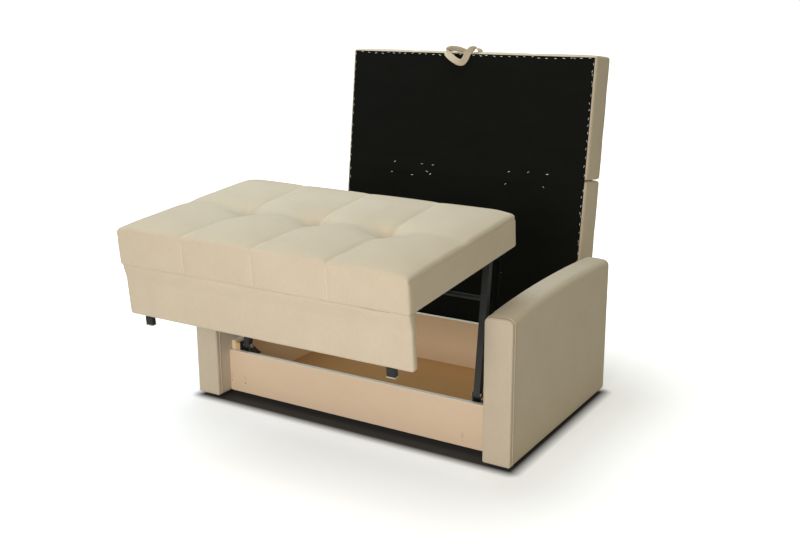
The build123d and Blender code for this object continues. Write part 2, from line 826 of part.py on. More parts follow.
# Webbing across the fold, a stapled leaf on each section
leaf_offset = (strap_leaf_height + strap_leaf_gap) / 2
for name, middle_y in (
    ("lower_fold_straps", fold_height - leaf_offset),
    ("upper_fold_straps", fold_height + leaf_offset),
):
    with BuildPart() as leaves:
        with BuildSketch(back.offset(-2 * cloth_thickness)):
            with Locations((-strap_leaf_x, middle_y), (strap_leaf_x, middle_y)):
                Rectangle(strap_leaf_width, strap_leaf_height)
        extrude(amount=cloth_thickness)
    finish(leaves.part, name)

# Rear hinge: a plate on each side board, an arm under the lower section and a pin
hinge_plate_x = side_inner_x - hinge_plate
plate_rear_y = side_rear_y - hinge_plate
plate_middle = (
    (plate_rear_y + box_outer_rear_y) / 2,
    back_pivot_height + hinge_lug_radius - hinge_plate_height / 2,
)
for side, sign in (("left", -1), ("right", 1)):
    with BuildPart() as side_plate:
        with BuildSketch(Plane.YZ.offset(mirrored_x(sign, hinge_plate_x, side_inner_x))):
            with Locations(plate_middle):
                Rectangle(plate_rear_y - box_outer_rear_y, hinge_plate_height)
            with Locations((back_pivot_y, back_pivot_height)):
                Circle(back_pin_radius + running_clearance, mode=Mode.SUBTRACT)
        extrude(amount=hinge_plate)
    finish(side_plate.part, f"{side}_hinge_plate")

    outer_x = hinge_arm_x + hinge_arm_thickness
    arm_x = mirrored_x(-sign, hinge_arm_x, outer_x)
    flange_x = mirrored_x(-sign, outer_x - hinge_flange_width, outer_x)
    under = underside_offset - cloth_thickness
    with BuildPart() as arm:
        with BuildSketch(side_plane(back_hinge, arm_x)):
            Circle(hinge_lug_radius)
            with BuildLine():
                Polyline(
                    (0, -hinge_lug_radius * lug_front_share),
                    (hinge_arm_length, under - 2 * hinge_flange),
                    (hinge_arm_length, under),
                    (-hinge_lug_radius * lug_rear_share, under),
                    (-hinge_lug_radius, 0),
                    close=True,
                )
            make_face()
            Circle(back_pin_radius + running_clearance, mode=Mode.SUBTRACT)
        extrude(amount=hinge_arm_thickness)
        with BuildSketch(side_plane(back_hinge, flange_x)):
            with Locations(((hinge_arm_length + 2 * hinge_lug_radius) / 2, under - hinge_flange / 2)):
                Rectangle(hinge_arm_length - 2 * hinge_lug_radius, hinge_flange)
        extrude(amount=hinge_flange_width)
    finish(arm.part, f"{side}_hinge_arm")

with BuildPart() as back_pins:
    for sign in (-1, 1):
        pivot = (back_pivot_y, back_pivot_height)
        rod(sign, hinge_arm_x - running_clearance, side_inner_x, pivot, back_pin_radius)
        hexagon(sign, hinge_arm_x - pin_head, hinge_arm_x - running_clearance, pivot, bolt_head_radius)
finish(back_pins.part, "back_pivot_pins")

# Pull strap: a ribbon of the cover fabric, looped forward over the top edge and back
strap_seat = upper_end + frame_clearance
with BuildPart() as strap:
    with BuildSketch(side_plane(back, strap_middle_x - strap_width / 2)):
        with BuildLine():
            FilletPolyline(
                *[(strap_seat + height, depth) for height, depth in strap_path],
                radius=strap_bend_radius,
            )
        trace(line_width=strap_thickness)
    extrude(amount=strap_width)
finish(strap.part, "pull_strap")

# Travel, ratios and pivots that the moving bodies are described with
print("bed travel", round(bed_travel, 4), "rear ratio", round(rear_bed_ratio, 5))
print("seat ratio", round(1 + seat_pitch / bed_travel, 6))
print("front pivot", link_pivot, "rear pivot", rear_pivot, "seat pivot", seat_pivot)
print("back pivot", back_pivot_y, back_pivot_height, "tilt", 90 + back_lean, "fold", fold_angle)
fold_place = back.from_local_coords((0, fold_height, -fold_axis_offset))
print("fold axis", tuple(round(v, 3) for v in fold_place))
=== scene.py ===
from math import cos, exp, pi, radians, sin

import bpy
import numpy as np
from mathutils import Matrix, Vector, noise
from mathutils.bvhtree import BVHTree


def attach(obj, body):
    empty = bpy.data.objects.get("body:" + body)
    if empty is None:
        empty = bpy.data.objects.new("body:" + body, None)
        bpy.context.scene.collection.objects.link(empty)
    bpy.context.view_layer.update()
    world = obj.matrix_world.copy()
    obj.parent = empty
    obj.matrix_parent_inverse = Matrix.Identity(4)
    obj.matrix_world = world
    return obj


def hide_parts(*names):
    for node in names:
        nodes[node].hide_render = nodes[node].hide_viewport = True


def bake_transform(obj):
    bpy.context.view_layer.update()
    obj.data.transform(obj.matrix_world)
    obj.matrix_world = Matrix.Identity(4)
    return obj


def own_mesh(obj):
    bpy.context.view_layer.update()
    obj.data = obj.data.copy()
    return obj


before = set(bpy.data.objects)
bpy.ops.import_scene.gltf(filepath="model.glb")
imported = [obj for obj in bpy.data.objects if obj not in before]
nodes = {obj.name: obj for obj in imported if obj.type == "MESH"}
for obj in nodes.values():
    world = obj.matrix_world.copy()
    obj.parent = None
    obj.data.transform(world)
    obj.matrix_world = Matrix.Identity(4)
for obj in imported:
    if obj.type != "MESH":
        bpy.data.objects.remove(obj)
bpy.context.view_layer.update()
scene = bpy.context.scene

# Places that the sofa's pieces are built on, in metres
arm_front_y = -0.3202
half_inner = 0.6
arm_thickness = 0.107
arm_depth = 0.876
seat_pitch = radians(4.9)
back_lean = radians(6.9)
seat_base = Matrix((
    (1, 0, 0, 0),
    (0, cos(seat_pitch), -sin(seat_pitch), -0.15931),
    (0, sin(seat_pitch), cos(seat_pitch), 0.73556),
    (0, 0, 0, 1),
))
back_base = Matrix((
    (-1, 0, 0, 0),
    (0, sin(back_lean), cos(back_lean), 0.5138 + 0.0135 * cos(back_lean)),
    (0, cos(back_lean), -sin(back_lean), 0.221 - 0.0135 * sin(back_lean)),
    (0, 0, 0, 1),
))


# Camera at the photographed angle
def look():
    yaw, pitch, roll = radians(31.63), radians(14.89), radians(-0.27)
    ahead = Vector((-sin(yaw) * cos(pitch), cos(yaw) * cos(pitch), -sin(pitch)))
    level = Vector((cos(yaw), sin(yaw), 0))
    square = level.cross(ahead)
    right = level * cos(roll) + square * sin(roll)
    up = square * cos(roll) - level * sin(roll)
    camera = bpy.data.objects.new("camera", bpy.data.cameras.new("camera"))
    camera.data.sensor_width = 36
    camera.data.lens = 46.665
    camera.data.clip_end = 60
    camera.matrix_world = Matrix((
        (right.x, up.x, -ahead.x, 2.103),
        (right.y, up.y, -ahead.y, -2.986 + arm_front_y),
        (right.z, up.z, -ahead.z, 1.611),
        (0, 0, 0, 1),
    ))
    scene.collection.objects.link(camera)
    scene.camera = camera


look()
scene.view_settings.view_transform = "Standard"


# Materials, written as sums of what varies over the surface
class Wave:
    """A value that varies over a surface; sums and products of it add the nodes that work it out."""

    def __init__(self, finish, socket):
        self.finish = finish
        self.socket = socket

    def math(self, operation, *others):
        return self.finish.node("Math", {"operation": operation}, dict(enumerate((self, *others))))

    def __add__(self, other):
        return self.math("ADD", other)

    __radd__ = __add__

    def __sub__(self, other):
        return self.math("SUBTRACT", other)

    def __rsub__(self, other):
        return self.finish.node("Math", {"operation": "SUBTRACT"}, {0: other, 1: self})

    def __mul__(self, other):
        return self.math("MULTIPLY", other)

    __rmul__ = __mul__

    def __pow__(self, other):
        return self.math("POWER", other)

    def between(self, low, high):
        """0 below low, 1 above high and an even rise from one to the other."""
        inputs = {"Value": self, "From Min": low, "From Max": high}
        return self.finish.node("MapRange", {"clamp": True}, inputs)


class Finish:
    """One material, with a method that adds any node to it."""

    def __init__(self, name, **constants):
        self.material = bpy.data.materials.new(name)
        self.material.use_nodes = True
        self.tree = self.material.node_tree
        self.tree.nodes.clear()
        self.shader = self.tree.nodes.new("ShaderNodeBsdfPrincipled")
        output = self.tree.nodes.new("ShaderNodeOutputMaterial")
        self.tree.links.new(self.shader.outputs[0], output.inputs[0])
        self.give(**constants)

    def node(self, kind, settings=None, inputs=None, output=0):
        made = self.tree.nodes.new("ShaderNode" + kind)
        for name, setting in (settings or {}).items():
            setattr(made, name, setting)
        for name, given in (inputs or {}).items():
            self.plug(made.inputs[name], given)
        return Wave(self, made.outputs[output])

    def plug(self, socket, given):
        if isinstance(given, Wave):
            self.tree.links.new(given.socket, socket)
        else:
            socket.default_value = given

    def give(self, **values):
        """Values or waves for the shader's sockets, named with _ for a space."""
        for name, given in values.items():
            self.plug(self.shader.inputs[name.replace("_", " ")], given)

    def place(self, scale=(1, 1, 1)):
        spot = self.node("TexCoord", output="Object")
        return self.node("Mapping", {}, {"Vector": spot, "Scale": scale})

    def grain(self, scale, stretch=(1, 1, 1), detail=3, rough=0.55):
        """Noise between 0 and 1, about 0.5."""
        return self.node(
            "TexNoise",
            {"noise_dimensions": "3D"},
            {"Vector": self.place(stretch), "Scale": scale, "Detail": detail, "Roughness": rough},
        )

    def blend(self, amount, first, second):
        first = first if isinstance(first, Wave) else (*first, 1)
        second = second if isinstance(second, Wave) else (*second, 1)
        settings = {"data_type": "RGBA", "clamp_factor": True}
        return self.node("Mix", settings, {0: amount, 6: first, 7: second}, 2)

    def bumps(self, height, depth, strength):
        return self.node("Bump", {}, {"Height": height, "Distance": depth, "Strength": strength})


def axes(finish, part="Object"):
    """The three coordinates of a point as separate waves."""
    spot = finish.node("TexCoord", output=part)
    made = finish.tree.nodes.new("ShaderNodeSeparateXYZ")
    finish.plug(made.inputs[0], spot)
    return [Wave(finish, made.outputs[i]) for i in range(3)]


def woven(name, pale, dark, pitch):
    """Upholstery cloth: crossed threads on every side, slubs along them and soft shading."""
    cloth = Finish(
        name, Roughness=0.92, Sheen_Weight=0.25, Sheen_Roughness=0.5, Specular_IOR_Level=0.25,
    )
    x, y, z = axes(cloth)
    turn = 2 * pi / pitch
    threads = [(w * turn).math("SINE") for w in (x, y, z)]
    facing = [w.math("ABSOLUTE") for w in axes(cloth, "Normal")]
    weave = (
        threads[0] * threads[1] * facing[2]
        + threads[0] * threads[2] * facing[1]
        + threads[1] * threads[2] * facing[0]
    )
    slubs = cloth.grain(55, (9, 9, 1), 2) + cloth.grain(60, (1, 9, 9), 2)
    fuzz = cloth.grain(900, detail=2)
    cloud = cloth.grain(7, detail=2)
    tone = weave * 0.10 + slubs * 0.55 + fuzz * 0.35 + cloud * 0.5
    cloth.give(
        Base_Color=cloth.blend(tone.between(0.55, 1.45), dark, pale),
        Roughness=0.86 + 0.1 * fuzz,
        Normal=cloth.bumps(weave * 0.5 + slubs * 0.6 + fuzz * 0.5, 0.0006, 0.6),
    )
    return cloth.material


def nonwoven():
    felt = Finish("black_nonwoven", Roughness=0.9, Specular_IOR_Level=0.05, Sheen_Weight=0.01)
    fibre = felt.grain(500, detail=4)
    dots = felt.node("TexVoronoi", {"feature": "F1"}, {"Vector": felt.place(), "Scale": 420.0})
    sag = felt.grain(5, (1, 2.2, 1), 3)
    deep, pale = (0.0029, 0.0031, 0.0026), (0.0100, 0.0106, 0.0088)
    felt.give(
        Base_Color=felt.blend(fibre * 0.6 + sag * 0.5, deep, pale),
        Roughness=0.82 + 0.15 * fibre,
        Normal=felt.bumps(dots * 0.4 + fibre + sag * 6, 0.0008, 0.5),
    )
    return felt.material


def fibreboard(name, light, deep, edge=None, edge_low=0.0, edge_high=1.0, marks=(), front=None):
    """Bare board: pressed fibres, sanding lines and, where given, a paler top and front end and small
    marks.
    """
    board = Finish(name, Roughness=0.62, Specular_IOR_Level=0.35)
    flecks = board.grain(420, detail=4, rough=0.7)
    cloud = board.grain(9, (1, 1, 2), 3)
    sanding = board.grain(90, (0.2, 1, 6), 2)
    shade = board.blend(flecks * 0.45 + cloud * 0.45 + sanding * 0.2, deep, light)
    x, y, z = axes(board)
    if edge is not None:
        shade = board.blend(z.between(edge_low, edge_high), shade, edge)
        if front is not None:
            shade = board.blend(y.between(front + 0.001, front + 0.002), edge, shade)
    for mark_x, mark_z, size in marks:
        away = ((x - mark_x) ** 2 + (z - mark_z) ** 2) ** 0.5
        shade = board.blend(1 - away.between(size * 0.6, size), shade, (0.10, 0.07, 0.05))
        smear = ((x - mark_x) ** 2 * 5 + (z - mark_z - 0.022) ** 2) ** 0.5
        shade = board.blend((1 - smear.between(0.002, 0.018)) * 0.3, shade, (0.42, 0.28, 0.16))
    board.give(
        Base_Color=shade,
        Roughness=0.55 + 0.2 * flecks,
        Normal=board.bumps(flecks + sanding * 0.5, 0.0002, 0.4),
    )
    return board.material


def timber(name, light, deep, along):
    """Planed softwood with its rings drawn out along one axis."""
    wood = Finish(name, Roughness=0.55, Specular_IOR_Level=0.4)
    stretch = tuple(0.12 if i == along else 1.6 for i in range(3))
    warp = wood.grain(14, stretch, 3)
    turns = {"Scale": 26.0, "Distortion": 5.0, "Detail": 2.0, "Detail Scale": 1.2}
    rings = wood.node(
        "TexWave",
        {"wave_type": "RINGS", "rings_direction": "XYZ"[along]},
        {"Vector": wood.place(stretch), **turns},
    )
    pores = wood.grain(260, stretch, 3)
    wood.give(
        Base_Color=wood.blend(rings * 0.5 + warp * 0.3 + pores * 0.25, deep, light),
        Roughness=0.48 + 0.2 * pores,
        Normal=wood.bumps(pores + rings * 0.4, 0.0002, 0.5),
    )
    return wood.material


def coated(name, shade, gloss, peel=700, specular=0.5):
    """Powder-coated or painted face: orange peel and a little rubbing."""
    paint = Finish(name, Roughness=gloss, Specular_IOR_Level=specular)
    skin = paint.grain(peel, detail=2)
    rub = paint.grain(22, (1, 1, 0.4), 4)
    paler = tuple(min(1, s * 1.9 + 0.012 * specular) for s in shade)
    paint.give(
        Base_Color=paint.blend(rub.between(0.52, 0.8), shade, paler),
        Roughness=gloss + 0.12 * rub,
        Normal=paint.bumps(skin, 0.00012, 0.5),
    )
    return paint.material


def plated(name, shade):
    metal = Finish(name, Metallic=1.0, Roughness=0.35)
    brush = metal.grain(160, (1, 14, 14), 3)
    stain = metal.grain(30, detail=3)
    metal.give(
        Base_Color=metal.blend(stain, tuple(s * 0.75 for s in shade), shade),
        Roughness=0.28 + 0.2 * brush,
        Normal=metal.bumps(brush, 0.00008, 0.4),
    )
    return metal.material


cover_cloth = woven("cover_cloth", (0.70, 0.605, 0.480), (0.57, 0.480, 0.365), 0.0022)
black_cloth = nonwoven()
front_board_look = fibreboard(
    "front_board_look", (0.84, 0.66, 0.49), (0.75, 0.57, 0.405), (0.88, 0.84, 0.77), 0.1925, 0.1946,
    marks=((-0.523, 0.063, 0.0032), (-0.594, 0.063, 0.0026), (0.482, 0.042, 0.0016)),
)
# The rear, apron and side boards are the same fibreboard as the front board, painted paler: painted
# light for the brighter light inside the box
box_board_painted_light = fibreboard(
    "box_board_painted_light", (0.90, 0.71, 0.50), (0.80, 0.60, 0.405), (0.84, 0.78, 0.68), 0.2285, 0.2298,
)
side_board_painted_light = fibreboard(
    "side_board_painted_light", (0.90, 0.71, 0.50), (0.80, 0.60, 0.405), (0.88, 0.84, 0.77), 0.2285, 0.2298,
    front=arm_front_y + 0.085,
)
hardboard_look = fibreboard("hardboard_look", (0.42, 0.215, 0.072), (0.315, 0.155, 0.049))
pine_upright = timber("pine_upright", (0.74, 0.55, 0.30), (0.55, 0.36, 0.16), 2)
pine_across = timber("pine_across", (0.72, 0.54, 0.31), (0.53, 0.35, 0.17), 0)
black_coat = coated("black_coat", (0.018, 0.020, 0.020), 0.5)
# The rear links, seat brackets and their pins are black, and this darker, duller copy of the black coat
# adds painted shade so they sink into the shadow around them
shaded_black_coat = coated("shaded_black_coat", (0.003, 0.003, 0.003), 0.85, 700, 0.06)
black_stain = coated("black_stain", (0.010, 0.009, 0.009), 0.5, 300)
black_moulding = coated("black_moulding", (0.012, 0.012, 0.012), 0.55, 400)
pale_moulding = coated("pale_moulding", (0.42, 0.42, 0.37), 0.4, 400)
zinc = plated("zinc", (0.55, 0.55, 0.54))
staple_wire = plated("staple_wire", (0.78, 0.77, 0.72))
thread = coated("thread", (0.84, 0.76, 0.62), 0.85, 2500)


def dress(material, *names):
    for name in names:
        nodes[name].data.materials.clear()
        nodes[name].data.materials.append(material)


def both(name):
    return [f"left_{name}", f"right_{name}"]


dress(front_board_look, "front_board")
dress(box_board_painted_light, "rear_board", "apron_board")
dress(side_board_painted_light, *both("side_board"))
dress(hardboard_look, "floor_panel")
dress(pine_upright, "corner_battens")
dress(pine_across, "seat_frame", "seat_slats", *both("arm_frame"))
dress(pine_across, *[f"{s}_back_{p}" for s in ("lower", "upper") for p in ("frame", "slats")])
dress(black_coat, "link_cross_tube", *both("front_link"), *both("base_bracket"))
dress(shaded_black_coat, *both("rear_link"))
dress(black_coat, *both("hinge_arm"), *both("hinge_plate"))
dress(shaded_black_coat, *both("seat_bracket"))
dress(black_stain, "seat_legs")
dress(pale_moulding, "leg_caps")
dress(black_moulding, "arm_glides", "box_feet")
dress(shaded_black_coat, "rear_link_pivot_pins", "rear_link_top_pins", "back_pivot_pins")
dress(zinc, "link_pivot_pins", "seat_pivot_pins", "bracket_bolts")


# Mesh building
def piece_from(name, points, faces, material, place=None):
    mesh = bpy.data.meshes.new(name)
    mesh.from_pydata([tuple(p) for p in points], [], faces)
    mesh.materials.append(material)
    mesh.polygons.foreach_set("use_smooth", [True] * len(mesh.polygons))
    mesh.update()
    piece = bpy.data.objects.new(name, mesh)
    scene.collection.objects.link(piece)
    if place is not None:
        piece.matrix_world = place
    return piece


def coordinates(piece):
    flat = np.empty(len(piece.data.vertices) * 3)
    piece.data.vertices.foreach_get("co", flat)
    return flat.reshape(-1, 3)


def move_to(piece, points):
    piece.data.vertices.foreach_set("co", np.asarray(points, float).ravel())
    piece.data.update()


def rounded_box(size, steps, side, top, bottom):
    """Points and quads of a closed box on z = 0 with rounded edges, its grid even on every face."""
    points, numbers, quads = [], {}, []

    def number(spot):
        if spot not in numbers:
            numbers[spot] = len(points)
            points.append([spot[i] / steps[i] for i in range(3)])
        return numbers[spot]

    for axis in range(3):
        u, v = [i for i in range(3) if i != axis]
        for end in (0, steps[axis]):
            for i in range(steps[u]):
                for j in range(steps[v]):
                    ring = []
                    for di, dj in ((0, 0), (1, 0), (1, 1), (0, 1)):
                        spot = [0, 0, 0]
                        spot[axis], spot[u], spot[v] = end, i + di, j + dj
                        ring.append(number(tuple(spot)))
                    flip = (end == 0) != (axis == 1)
                    quads.append(ring[::-1] if flip else ring)
    p = (np.array(points) - (0.5, 0.5, 0)) * size
    low = np.array((-size[0] / 2 + side, -size[1] / 2 + side, bottom))
    high = np.array((size[0] / 2 - side, size[1] / 2 - side, size[2] - top))
    inner = np.clip(p, low, high)
    radius = np.empty_like(p)
    radius[:, :2] = side
    radius[:, 2] = np.where(p[:, 2] > size[2] / 2, top, bottom)
    reach = (p - inner) / radius
    longest = np.abs(reach).max(1, keepdims=True)
    length = np.linalg.norm(reach, axis=1, keepdims=True)
    scale = np.divide(longest, length, out=np.ones_like(length), where=length > 1e-9)
    return inner + reach * scale * radius, quads


def rise(value, low, high):
    t = np.clip((value - low) / (high - low), 0, 1)
    return t * t * (3 - 2 * t)


def puff(piece, held, pressure, limit):
    """Fills the cover with cloth simulation, its held points staying where they are sewn or stapled."""
    start = coordinates(piece)
    group = piece.vertex_groups.new(name="held")
    for i in np.nonzero(held > 0.01)[0]:
        group.add([int(i)], float(held[i]), "REPLACE")
    cloth = piece.modifiers.new("Cloth", "CLOTH")
    cloth.settings.quality = 4
    cloth.settings.mass = 0.3
    cloth.settings.tension_stiffness = 8
    cloth.settings.compression_stiffness = 8
    cloth.settings.shear_stiffness = 4
    cloth.settings.bending_stiffness = 0.4
    cloth.settings.use_pressure = True
    cloth.settings.uniform_pressure_force = pressure
    cloth.settings.effector_weights.gravity = 0
    cloth.settings.vertex_group_mass = "held"
    cloth.collision_settings.use_collision = False
    cloth.point_cache.frame_start = 1
    cloth.point_cache.frame_end = 20
    for number in range(1, 21):
        scene.frame_set(number)
    seen = piece.evaluated_get(bpy.context.evaluated_depsgraph_get())
    flat = np.empty(len(start) * 3)
    seen.data.vertices.foreach_get("co", flat)
    moved = flat.reshape(-1, 3) - start
    piece.modifiers.remove(cloth)
    scene.frame_set(1)
    length = np.linalg.norm(moved, axis=1, keepdims=True) + 1e-9
    moved *= limit * np.tanh(length / limit) / length
    move_to(piece, start + moved)


def keep(piece, modifier):
    """Keeps what the modifier makes of the mesh and removes the modifier."""
    seen = piece.evaluated_get(bpy.context.evaluated_depsgraph_get())
    mesh = bpy.data.meshes.new_from_object(seen)
    piece.modifiers.remove(modifier)
    piece.vertex_groups.clear()
    old = piece.data
    piece.data = mesh
    bpy.data.meshes.remove(old)
    mesh.name = piece.name


def finer(piece):
    """One subdivision, kept in the mesh."""
    modifier = piece.modifiers.new("Subdivision", "SUBSURF")
    modifier.levels = 1
    keep(piece, modifier)


def soft_stop(value, limit, give):
    """Lets values past the limit by no more than give."""
    return np.where(value > limit, limit + give * np.tanh((value - limit) / give), value)


def furrow(distance, width):
    return np.exp(-(distance / width) ** 2)


stitch_length = 0.0075
stitch_gap = 0.0012
thread_half = 0.0008


def stitches(name, cover, lines, body):
    """Raised threads laid on a cover.

    Each line is its run of start points and the ray that finds the cloth.
    """
    mesh = cover.data
    tree = BVHTree.FromPolygons([v.co for v in mesh.vertices], [p.vertices for p in mesh.polygons])
    points, faces = [], []
    for starts, ray in lines:
        spots, left, laying, first = [], stitch_length, True, None
        for start in starts:
            hit, normal = tree.ray_cast(Vector(start), Vector(ray))[:2]
            if hit is not None:
                spots.append((hit, normal))
        for (a, normal), (b, _) in zip(spots, spots[1:]):
            run = (b - a).length
            done = 0.0
            if first is None:
                first = a
            while run - done > left:
                done += left
                spot = a.lerp(b, done / run)
                if laying:
                    lay_thread(points, faces, first, spot, normal)
                laying = not laying
                left = stitch_length if laying else stitch_gap
                first = spot
            left -= run - done
    piece = piece_from(name, points, faces, thread, cover.matrix_world)
    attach(piece, body)


def lay_thread(points, faces, start, end, normal):
    """One stitch: four rings of a low arch, narrow at both ends."""
    ahead = (end - start).normalized()
    aside = ahead.cross(normal).normalized()
    base = len(points)
    for share, swell in ((0, 0.35), (0.2, 1), (0.8, 1), (1, 0.35)):
        centre = start.lerp(end, share)
        for across, up in ((-1, -0.6), (-0.6, 0.9), (0.6, 0.9), (1, -0.6)):
            points.append(centre + (aside * across + normal * up) * thread_half * swell)
    for k in range(3):
        a = base + 4 * k
        for j in range(4):
            n = (j + 1) % 4
            faces.append((a + j, a + n, a + 4 + n, a + 4 + j))
    faces.append((base + 3, base + 2, base + 1, base))
    faces.append((base + 12, base + 13, base + 14, base + 15))


# Sizes that all the quilted cushions share
grid_pitch = 0.0095
bottom_radius = 0.004
pad_pressure = 4.0
pad_swell = 0.012
side_give = 0.0012
end_give = 0.0015
valley_half = 0.035
tuft_reach = 0.056
tuft_hold = 0.014
hold_fade = 0.006
crease_depth, crease_half = 0.0030, 0.014
seam_depth, seam_half = 0.0016, 0.004
piping_depth, piping_half = 0.0028, 0.0045
fold_depth, fold_place, fold_half = 0.0020, 0.042, 0.028
pinch_depth, pinch_half = 0.006, 0.010
thread_step = 0.003


class Cushion:
    """The form of a quilted cushion: seams along it at the columns, tufts where the rows cross them."""

    def __init__(
        self, width, start, end, thick, crown, rows, columns,
        tuft, side, top, overhang=0.0, plump=0.0,
    ):
        self.width, self.length, self.thick = width, end - start, thick
        self.middle = (start + end) / 2
        self.crown, self.tuft, self.plump = crown, tuft, plump
        self.side, self.top, self.overhang = side, top, overhang
        self.columns = columns
        self.rows = [row - self.length / 2 for row in rows]
        self.tufts = [(column, row) for row in self.rows for column in columns]

    def off_columns(self, x):
        return np.min([np.abs(x - c) for c in self.columns], axis=0)

    def grid(self):
        """Points and quads of the plain box, as fine as the simulation needs."""
        steps = (132, round(self.length / grid_pitch / 6) * 6, 16)
        size = (self.width, self.length, self.thick)
        return rounded_box(size, steps, self.side, self.top, bottom_radius)

    def crowned(self, x, y, z):
        """The box with its pillows, valleys and tufts, before it is filled."""
        to_end, to_side = self.length / 2 - np.abs(y), self.width / 2 - np.abs(x)
        cell = self.width / (len(self.columns) + 1)
        across = np.abs((x / cell) - np.round(x / cell)) * cell * 2
        bulge = 1 - (1 - across / cell) ** 2.2
        bulge[np.abs(x) > self.width / 2 - cell / 2] = 1
        bulge = 1 - (1 - bulge) * (0.2 + 0.8 * rise(to_end, 0, 0.13))
        lift = self.crown * (0.35 + 0.65 * bulge) * (0.5 + 0.5 * rise(to_end, 0, 0.10))
        lift *= rise(to_side, -0.02, 0.08)
        lift += self.plump * (0.5 - x / self.width) - self.plump / 4
        for row in self.rows:
            valley = 0.4 + 0.6 * furrow(self.off_columns(x), 0.11)
            lift -= 0.5 * self.crown * furrow(y - row, valley_half) * valley
            for column in self.columns:
                away = np.hypot(x - column, (y - row) * 1.15)
                lift -= self.tuft * np.exp(-((away / tuft_reach) ** 1.25))
        z = z + lift * rise(z, self.thick * 0.55, self.thick * 0.97)
        near_end = rise(y, self.length / 2 - 0.08, self.length / 2)
        return x, y + self.overhang * near_end * (0.2 + 0.8 * z / self.thick), z

    def sewn(self, x, y, z, off_columns):
        """How firmly each point is held: the stapled bottom, the seams, the corners and the tufts."""
        held = np.where(z < 0.012, 1.0, 0.0)
        held = np.maximum(held, 0.8 * furrow(off_columns, seam_half) * (z > 0.02))
        side_line, end_line = self.width / 2 - self.side, self.length / 2 - self.side
        top_line = self.thick - self.top
        at_side = rise(np.abs(x), side_line - hold_fade, side_line)
        at_end = rise(np.abs(y), end_line - hold_fade, end_line)
        at_top = rise(z, top_line - hold_fade, top_line)
        held = np.maximum(held, at_side * at_end)
        held = np.maximum(held, 0.95 * at_side * at_top)
        held = np.maximum(held, 0.6 * at_end * at_top)
        for column, row in self.tufts:
            near = np.hypot(x - column, y - row) < tuft_hold
            held = np.maximum(held, near * (z > self.thick * 0.5))
        return held

    def finished(self, x, y, z):
        """The filled cushion with creases, folds and side seams, kept clear of its neighbours."""
        x = np.sign(x) * soft_stop(np.abs(x), self.width / 2, side_give)
        y = soft_stop(y, self.length / 2 + self.overhang, end_give)
        off = self.off_columns(x)
        crease = crease_depth * furrow(off, crease_half) + seam_depth * furrow(off, seam_half)
        z -= crease * rise(z, self.thick * 0.5, self.thick * 0.9) * rise(self.length / 2 - y, 0, 0.07)
        for end in (-1, 1):
            reach = rise(y * end, self.length / 2 - 0.03, self.length / 2 - 0.004)
            y -= end * crease * reach * (z > 0.012)
        for column, row in self.tufts:
            away = np.hypot(x - column, y - row)
            angle = np.arctan2(y - row, x - column)
            ring = np.exp(-(((away - fold_place) / fold_half) ** 2))
            fold = np.cos(5 * angle + 30 * column) * fold_depth * ring
            pinch = pinch_depth * np.exp(-((away / pinch_half) ** 2))
            z += (fold - pinch) * (z > self.thick * 0.5)
        seam = piping_depth * furrow(z - self.thick + 0.8 * self.top, piping_half)
        x -= np.sign(x) * seam * (np.abs(x) > self.width / 2 - 0.022)
        return x, y, z

    def seam_lines(self):
        """Start points and rays that lay the thread over the top and down the near end."""
        lines = []
        for column in self.columns:
            along = np.arange(self.top / 2 - self.length / 2, self.length / 2 - 0.008, thread_step)
            down = np.arange(self.thick - self.top / 3, 0.006, -thread_step)
            lines.append(([(column, y, self.thick + 0.1) for y in along], (0, 0, -1)))
            lines.append(([(column, -self.length / 2 - 0.05, z) for z in down], (0, 1, 0)))
        return lines


def quilted(name, base, body, node, **sizes):
    form = Cushion(**sizes)
    points, quads = form.grid()
    x, y, z = points.T.copy()
    off_columns = form.off_columns(x)
    x, y, z = form.crowned(x, y, z)
    place = base @ Matrix.Translation((0, form.middle, 0))
    piece = piece_from(name, np.stack((x, y, z), 1), quads, cover_cloth, place)
    puff(piece, form.sewn(x, y, z, off_columns), pad_pressure, pad_swell)
    finer(piece)
    x, y, z = coordinates(piece).T.copy()
    move_to(piece, np.stack(form.finished(x, y, z), 1))
    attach(piece, body)
    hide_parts(node)
    stitches(name + "_seam_stitches", piece, form.seam_lines(), body)


quilted(
    "seat_cushion_cover", seat_base, "seat", "seat_cushion",
    width=1.196, start=-0.6513, end=0.0797, thick=0.122, crown=0.020,
    rows=[0.364], columns=[-0.298, 0, 0.298], tuft=0.036,
    side=0.009, top=0.024, plump=0.015,
)
back_columns = [-0.28875, 0, 0.28875]
quilted(
    "lower_back_cover", back_base, "lower_back", "lower_back_cushion",
    width=1.161, start=-0.025, end=0.648, thick=0.152, crown=0.014,
    rows=[0.673 / 3, 0.673 * 2 / 3], columns=back_columns, tuft=0.024,
    side=0.010, top=0.022,
)
quilted(
    "upper_back_cover", back_base, "upper_back", "upper_back_cushion",
    width=1.161, start=0.652, end=1.147, thick=0.152, crown=0.014,
    rows=[0.174, 0.362], columns=back_columns, tuft=0.024,
    side=0.010, top=0.022, overhang=0.006,
)


# Arms: a padded cover with a sewn-in front panel
arm_corner = 0.020
arm_foot_z = 0.018
arm_proud = 0.008
panel_depth = 0.020


def shoulder(z, height):
    """How far the side of an arm leans in at a height, for its rounded upper edges."""
    over = np.clip(z - (height - arm_corner), 0, arm_corner)
    return arm_corner - np.sqrt(np.maximum(arm_corner**2 - over**2, 0))


